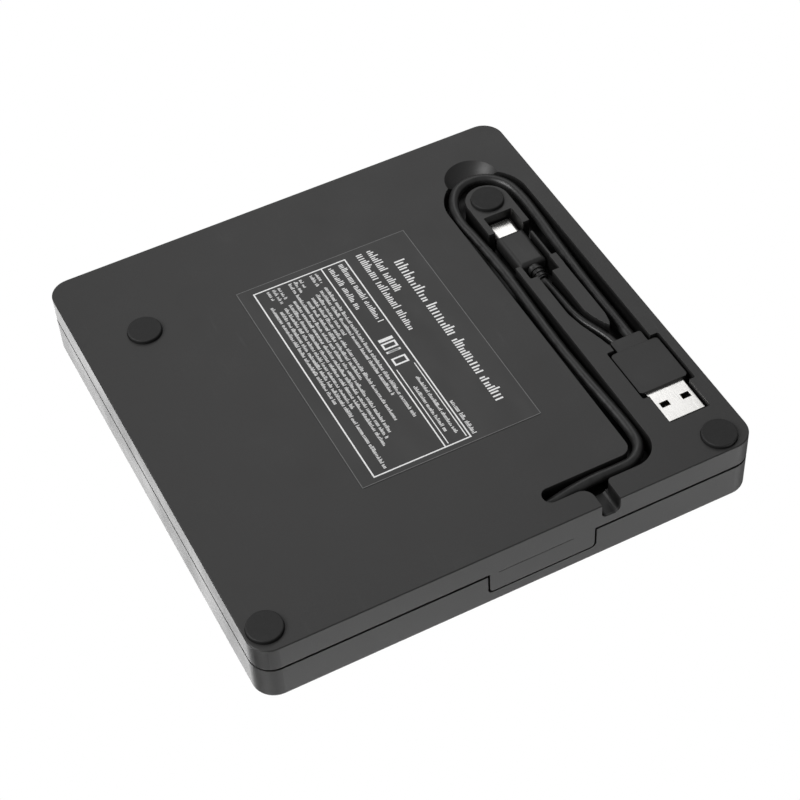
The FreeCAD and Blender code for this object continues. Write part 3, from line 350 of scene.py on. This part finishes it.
def spun(name, colour, rough, pitch=0.35, centre=(0, 0, 0)):
    """Metal turned on a lathe: rings round an upright axis."""
    s = Shader(name)
    rings = s.wave(pitch, kind="RINGS", wobble=0.4, centre=centre)
    cloud = s.noise(3.0, 3.0, 0.5)
    s.set(Metallic=1.0)
    return s.set(
        Base_Color=s.mix(s.vary(cloud, 0.0, 1.0), scaled(colour, 0.9), scaled(colour, 1.06)),
        Roughness=s.span(rings, 0.0, 1.0, rough - 0.05, rough + 0.06),
        Normal=s.bump(rings, 0.004, s.soft_edge(0.1)),
    )


def cast(name, colour, rough, grain=0.5):
    """Die-cast metal: a pebbled skin with darker pits."""
    s = Shader(name)
    skin = s.noise(grain, 4.0, 0.65)
    cloud = s.noise(5.0, 2.0, 0.5)
    s.set(Metallic=1.0)
    return s.set(
        Base_Color=s.mix(s.span(skin, 0.3, 0.6, 0.0, 1.0), scaled(colour, 0.7), colour),
        Roughness=s.vary(cloud, rough - 0.05, rough + 0.1),
        Normal=s.bump(skin, 0.02, s.soft_edge(0.15)),
    )


def circuit_board(name, mask, track):
    """Solder mask over tracks that run across the board, with small tinned vias."""
    s = Shader(name)
    across = s.span(s.wave(0.9, "X", wobble=2.0), 0.62, 0.7, 0.0, 1.0)
    along = s.span(s.wave(1.3, "Z", wobble=2.5), 0.66, 0.74, 0.0, 1.0)
    tracks = s.math("MAXIMUM", across, along)
    vias = s.span(s.cells(2.2), 0.1, 0.14, 1.0, 0.0)
    weave = s.noise(0.3, 2.0, 0.5)
    green = s.mix(tracks, s.mix(weave, scaled(mask, 0.85), scaled(mask, 1.15)), track)
    return s.set(
        Base_Color=s.mix(vias, green, (0.55, 0.53, 0.47)),
        Metallic=s.math("MULTIPLY", vias, 0.9),
        Roughness=s.vary(weave, 0.28, 0.4),
        Normal=s.bump(s.math("ADD", tracks, vias), 0.02, s.soft_edge(0.08)),
    )


def flex(name, base, copper):
    """Flat flexible cable: parallel conductors under a thin film."""
    s = Shader(name)
    strips = s.span(s.wave(1.0, "X"), 0.35, 0.5, 0.0, 1.0)
    haze = s.noise(2.0, 2.0, 0.5)
    return s.set(
        Base_Color=s.mix(strips, base, s.mix(haze, copper, scaled(copper, 1.2))),
        Roughness=s.vary(haze, 0.3, 0.42),
        Normal=s.bump(strips, 0.03),
    )


def clear(name, colour, rough):
    """Clear moulded part with faint flow lines."""
    s = Shader(name)
    flow = s.noise(1.5, 3.0, 0.5, stretch=(1, 0.3, 1))
    s.set(IOR=1.49, Transmission_Weight=0.85)
    return s.set(
        Base_Color=s.mix(s.vary(flow, 0.0, 1.0), colour, scaled(colour, 0.88)),
        Roughness=s.vary(flow, rough, rough + 0.08),
        Normal=s.bump(flow, 0.01, s.soft_edge(0.1)),
    )


def laminated(name, steel, copper, centre):
    """Motor stator: stacked laminations outside, copper windings further in."""
    s = Shader(name)
    sheets = s.wave(0.35, "Z")
    wire = s.wave(0.3, kind="RINGS", wobble=0.6, centre=centre)
    reach = s.away(centre[:2])
    inner, outer = COIL_R
    coil = s.math("MULTIPLY", s.span(reach, inner - 0.1, inner + 0.1, 0.0, 1.0),
                  s.span(reach, outer - 0.1, outer + 0.1, 1.0, 0.0))
    s.set(Metallic=1.0)
    return s.set(
        Base_Color=s.mix(coil, s.mix(sheets, scaled(steel, 0.7), steel),
                         s.mix(wire, scaled(copper, 0.5), copper)),
        Roughness=s.span(sheets, 0.0, 1.0, 0.32, 0.5),
        Normal=s.bump(s.mix(coil, sheets, wire), 0.03),
    )


BLACK = grey(0.021, 0.01)
BAY_SHADE_TONE = 0.2           # painted shade on the case's inner walls, as a share of the outer skin's tone


def make_materials():
    # the case's cable bay gets painted shade on its inner walls
    moulded("case_plastic", BLACK, 0.44, bay_shade=BAY_SHADE_TONE)
    moulded("bezel_plastic", scaled(BLACK, 0.9), 0.36, grain=0.2, depth=0.006)
    moulded("plug_plastic", scaled(BLACK, 0.8), 0.42, grain=0.2, depth=0.008, edge=0.3)
    moulded("tray_plastic", grey(0.045), 0.5, grain=0.3, depth=0.012)
    moulded("guide_plastic", (0.62, 0.6, 0.54), 0.42, grain=0.35, contrast=0.12)
    moulded("tongue_plastic", grey(0.03), 0.4, grain=0.2)
    moulded("connector_plastic", grey(0.025), 0.45, grain=0.25)
    moulded("chip_plastic", grey(0.02, 0.02), 0.55, grain=0.15)
    moulded("holder_plastic", grey(0.03), 0.4, grain=0.2)
    rubber("foot_rubber", grey(0.008), 0.66)
    jacket("cable_jacket", grey(0.016), 0.38)
    film("label_film", BLACK, 0.4)
    flex("ribbon_film", (0.6, 0.52, 0.36), (0.5, 0.42, 0.3))
    clear("lamp_clear", (0.75, 0.85, 0.78), 0.12)
    clear("lens_glass", (0.72, 0.8, 0.95), 0.02)
    brushed("plug_metal", (0.86, 0.85, 0.83), 0.24, "Y")
    brushed("screw_steel", (0.55, 0.55, 0.56), 0.32, "X")
    brushed("sheet_steel", (0.42, 0.43, 0.44), 0.4, "X", scratch=0.3)
    brushed("rail_steel", (0.45, 0.45, 0.45), 0.34, "Y")
    brushed("switch_metal", (0.6, 0.6, 0.58), 0.34, "Z")
    brushed("rod_steel", (0.66, 0.66, 0.67), 0.18, "Z", anisotropy=0.2)
    brushed("motor_can", (0.6, 0.6, 0.61), 0.26, "Y")
    brushed("contact_gold", (0.9, 0.66, 0.3), 0.22, "Y", scratch=0.08)
    spun("rotor_metal", (0.5, 0.5, 0.51), 0.3, centre=SPINDLE_AXIS)
    cast("sled_metal", (0.3, 0.3, 0.31), 0.46)
    cast("magnet_metal", (0.42, 0.42, 0.44), 0.35, grain=0.3)
    circuit_board("board_green", (0.02, 0.13, 0.05), (0.05, 0.24, 0.1))
    laminated("stator_steel", (0.5, 0.5, 0.52), (0.75, 0.36, 0.16), SPINDLE_AXIS)
    ink("label_ink", grey(0.88), 0.5)
    ink("label_edge", grey(0.14), 0.5)


# ---- cords -----------------------------------------------------------------------------------------
def cord(name, route, thick):
    curve = bpy.data.curves.new(name, "CURVE")
    curve.dimensions = "3D"
    curve.resolution_u = 16
    curve.bevel_depth = thick / 2 * MM
    curve.bevel_resolution = 8
    curve.use_fill_caps = True
    spline = curve.splines.new("NURBS")
    spline.points.add(len(route) - 1)
    for point, place in zip(spline.points, route):
        point.co = (*(c * MM for c in place), 1.0)
    spline.order_u = 3
    spline.use_endpoint_u = True
    piece = bpy.data.objects.new(name, curve)
    bpy.context.scene.collection.objects.link(piece)
    curve.materials.append(bpy.data.materials["cable_jacket"])
    return piece


def make_cords():
    cable = cord("cable_line", CABLE_ROUTE, CABLE_D)
    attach(cable, "case")
    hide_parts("cable")
    pigtail = cord("pigtail_line", PIGTAIL_ROUTE, PIGTAIL_D)
    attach(pigtail, "case")
    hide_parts("pigtail_cable")


# ---- print on the rating label: rows of plain marks, no lettering -----------------------------------
INK_T = 0.015               # thickness of the ink
BORDER_INSET = 0.1          # from the label's edge to its border line
BORDER_LINE = 0.22
PANEL_LINE = 0.42

# each row: x of its foot, height, start and end along y, width of a post, fewest and most pairs of posts
# in a group; the title, two heading rows, a short note, then four rows in the panel's head
HEADING_ROWS = [
    (19.3, 3.4, -33.6, 29.7, 0.55, (5, 8)),
    (14.1, 2.6, -41.5, -22.4, 0.42, (5, 6)),
    (10.6, 2.6, -41.5, -6.8, 0.42, (5, 7)),
    (8.0, 1.3, 22.7, 36.7, 0.25, (3, 6)),
    (4.3, 1.9, -40.5, -14.0, 0.34, (4, 7)),
    (1.0, 1.9, -40.5, -21.5, 0.34, (4, 7)),
    (3.9, 1.1, 10.0, 34.0, 0.24, (4, 8)),
    (1.6, 1.1, 13.0, 32.0, 0.24, (4, 8)),
]
PANEL_X = (-22.7, 7.3)
PANEL_Y = (-41.9, 37.0)
PANEL_RULES = [(-0.9, -0.5, -41.5, 36.6), (6.0, 6.3, 5.0, 36.0), (0.4, 0.7, 5.0, 36.0)]   # x, x, y, y
FRAMES_X = (0.9, 5.4)       # a short row of empty frames
FRAMES = ((-7.6, 1.2), (-5.8, 2.6), (-2.4, 0.8), (0.6, 3.0))    # start along y, width
FRAME_LINE = 0.6

FINE_FIRST_X = -3.3         # the fine print's first row, and the step to the next
FINE_STEP = 1.73
FINE_TALL = 1.15
FINE_LINE = 0.22
FINE_ENDS = (23.0, 13.0, -14.0, 21.5, 4.0, 25.0, 26.5, 28.5, 12.0, 35.8, 8.5)   # of its rows along y
FINE_START = -34.2
MARGIN_START = -40.6        # most rows also have a short group in the margin
MARGIN_END = -36.4


class Print:
    """Flat marks on the label, which faces down. Rows run along +Y with their tops towards +X."""

    def __init__(self, name, material):
        self.name = name
        self.material = material
        self.mesh = bmesh.new()
        self.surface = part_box("rating_label")[0].z / MM

    def mark(self, x0, x1, y0, y1):
        rings = []
        for z in (self.surface, self.surface - INK_T):
            corners = ((x0, y0), (x0, y1), (x1, y1), (x1, y0))
            rings.append([self.mesh.verts.new((x * MM, y * MM, z * MM)) for x, y in corners])
        near, far = rings
        self.mesh.faces.new(near)
        self.mesh.faces.new(far[::-1])
        for i in range(4):
            j = (i + 1) % 4
            self.mesh.faces.new((near[i], far[i], far[j], near[j]))

    def outline(self, x0, x1, y0, y1, line):
        self.mark(x0, x0 + line, y0, y1)
        self.mark(x1 - line, x1, y0, y1)
        self.mark(x0 + line, x1 - line, y0, y0 + line)
        self.mark(x0 + line, x1 - line, y1 - line, y1)

    def row(self, foot, tall, start, end, line, group, draw):
        """Groups of upright posts of uneven height, from start to end along Y."""
        y = start
        while y < end - line:
            for _ in range(2 * draw.randint(*group)):
                if y + line > end:
                    return
                self.mark(foot, foot + tall * draw.choice((0.5, 0.72, 0.72, 0.72, 1.0)), y, y + line)
                y += line + tall * draw.choice((0.13, 0.16, 0.24))
            y += tall * 0.4

    def finish(self):
        bmesh.ops.recalc_face_normals(self.mesh, faces=self.mesh.faces)
        data = bpy.data.meshes.new(self.name)
        self.mesh.to_mesh(data)
        data.materials.append(bpy.data.materials[self.material])
        piece = bpy.data.objects.new(self.name, data)
        bpy.context.scene.collection.objects.link(piece)
        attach(piece, "case")


def make_label_border():
    low, high = (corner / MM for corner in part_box("rating_label"))
    border = Print("label_border", "label_edge")
    border.outline(low.x + BORDER_INSET, high.x - BORDER_INSET, low.y + BORDER_INSET,
                   high.y - BORDER_INSET, BORDER_LINE)
    border.finish()


def make_label_marks():
    draw = random.Random(11)
    sheet = Print("label_marks", "label_ink")
    for row in HEADING_ROWS:
        sheet.row(*row, draw)
    sheet.outline(*PANEL_X, *PANEL_Y, PANEL_LINE)
    for rule in PANEL_RULES:
        sheet.mark(*rule)
    for start, wide in FRAMES:
        sheet.outline(*FRAMES_X, start, start + wide, FRAME_LINE)
    for i, end in enumerate(FINE_ENDS):
        foot = FINE_FIRST_X - i * FINE_STEP
        if i % 4 != 2:
            sheet.row(foot, FINE_TALL, MARGIN_START, MARGIN_END + i % 3, FINE_LINE, (2, 4), draw)
        sheet.row(foot, FINE_TALL, FINE_START + (i % 5) * 0.7, end, FINE_LINE, (3, 9), draw)
    sheet.finish()


# ---- stage and light -------------------------------------------------------------------------------
FLOOR_FADE = (200.0, 650.0)     # distances (mm) between which the floor turns plain white
SURROUNDINGS = 0.3              # brightness of the world's even light
LAMP_TARGET = Vector((0, 0, 10)) * MM


def backdrop():
    """White surroundings that only the camera sees."""
    bpy.ops.mesh.primitive_uv_sphere_add(radius=8.0, segments=64, ring_count=32)
    ball = bpy.context.object
    ball.name = "backdrop"
    s = Shader("backdrop")
    glow = s.node("ShaderNodeEmission")
    glow.inputs["Color"].default_value = (1, 1, 1, 1)
    glow.inputs["Strength"].default_value = 1.0
    s.link(glow.outputs["Emission"], s.output.inputs["Surface"])
    ball.data.materials.append(s.material)
    ball.visible_diffuse = False
    ball.visible_glossy = False
    ball.visible_transmission = False
    ball.visible_shadow = False


def floor():
    """Pale table under the feet. From below it is see-through, so that the underside can be seen."""
    bpy.ops.mesh.primitive_circle_add(radius=3.0, vertices=96, fill_type="NGON")
    table = bpy.context.object
    table.name = "floor"
    s = Shader("floor")
    dust = s.noise(60.0, 2.0, 0.5)
    s.set(Base_Color=s.mix(dust, grey(0.8), grey(0.84)), Roughness=s.vary(dust, 0.7, 0.8))
    reach = s.away((0, 0))
    facing = s.node("ShaderNodeNewGeometry")
    clear_part = s.node("ShaderNodeBsdfTransparent")
    glow = s.node("ShaderNodeEmission")
    fade = s.node("ShaderNodeMixShader")
    choose = s.node("ShaderNodeMixShader")
    s.link(s.span(reach, *FLOOR_FADE, 0.0, 1.0), fade.inputs["Fac"])
    s.link(s.bsdf.outputs["BSDF"], fade.inputs[1])
    s.link(glow.outputs["Emission"], fade.inputs[2])
    s.link(facing.outputs["Backfacing"], choose.inputs["Fac"])
    s.link(fade.outputs["Shader"], choose.inputs[1])
    s.link(clear_part.outputs["BSDF"], choose.inputs[2])
    s.link(choose.outputs["Shader"], s.output.inputs["Surface"])
    table.data.materials.append(s.material)
    table.visible_diffuse = False
    table.visible_glossy = False
    table.visible_shadow = False


# name: azimuth and elevation (degrees), distance and (width, height) (m), power (W)
LAMPS = {
    "front_below": (24.4, -48.6, 1.0, (0.5, 0.5), 1.0),
    "key_below": (277, -43, 1.2, (0.6, 0.6), 12.0),
    "side_sheen": (338, 46, 1.2, (0.7, 0.7), 5.0),
    "back_fill": (143, 30, 1.3, (0.6, 0.5), 4.3),
    "key_above": (20, 87, 1.7, (1.4, 1.4), 27.0),
}


def lamp(name, azimuth, elevation, distance, size, watts):
    data = bpy.data.lights.new(name, "AREA")
    data.shape = "RECTANGLE"
    data.size, data.size_y = size
    data.energy = watts
    light = bpy.data.objects.new(name, data)
    light.visible_camera = False
    bpy.context.scene.collection.objects.link(light)
    light.matrix_world = aim(azimuth, elevation, Vector((0, 0, 1)), 0.0, distance, LAMP_TARGET)


def studio():
    world = bpy.data.worlds.new("studio")
    bpy.context.scene.world = world
    world.use_nodes = True
    light = world.node_tree.nodes["Background"]
    light.inputs["Color"].default_value = (1, 1, 1, 1)
    light.inputs["Strength"].default_value = SURROUNDINGS
    for name, place in LAMPS.items():
        lamp(name, *place)
    bpy.context.scene.view_settings.view_transform = "Standard"


make_camera()
make_materials()
make_cords()
make_label_border()
make_label_marks()
backdrop()
floor()
studio()
